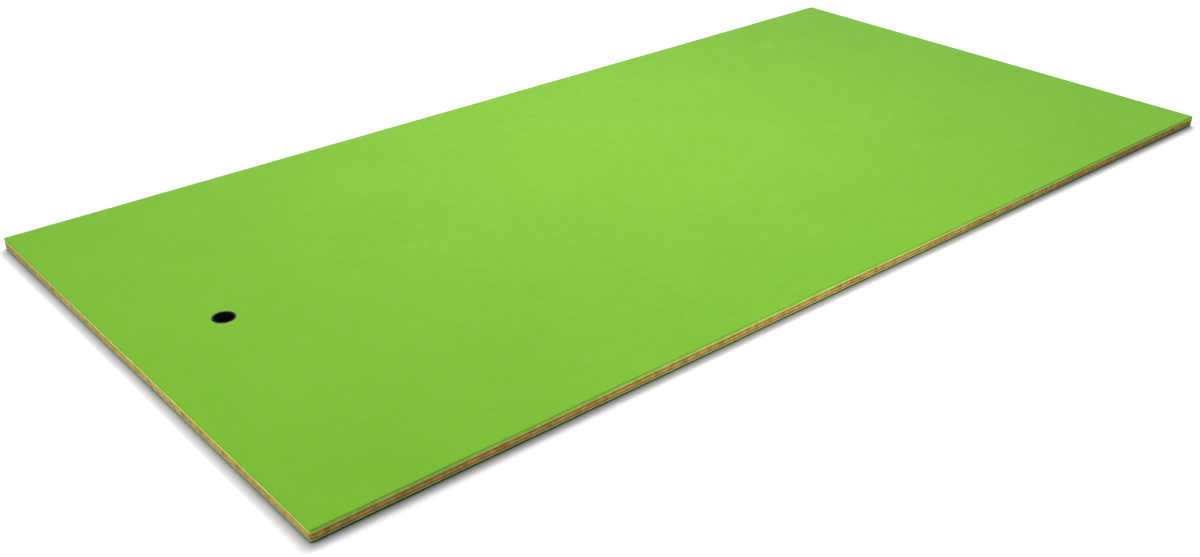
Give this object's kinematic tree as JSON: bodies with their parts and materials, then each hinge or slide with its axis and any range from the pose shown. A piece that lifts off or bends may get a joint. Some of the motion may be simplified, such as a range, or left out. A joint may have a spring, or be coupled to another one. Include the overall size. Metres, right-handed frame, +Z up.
{
  "type": "layered foam floating mat",
  "caption": "Large flat rectangular mat of laminated closed-cell foam, with green outer sheets, an orange core and a grommet-lined tether hole near one end.",
  "frame": {"origin": "middle of the underside, the flat face that the mat rests on", "axes": "+X along the mat's length, away from the end with the hole; +Y across its width; +Z up through its thickness"},
  "size_m": [3.658, 1.829, 0.036],
  "materials": {
    "green_foam": "matte",
    "orange_foam": "matte",
    "black_plastic": "matte"
  },
  "bodies": {
    "root": {"top_foam_sheet": "green_foam", "core_foam_sheet": "orange_foam", "bottom_foam_sheet": "green_foam", "grommet_socket": "black_plastic", "grommet_spigot": "black_plastic"}
  },
  "joints": []
}
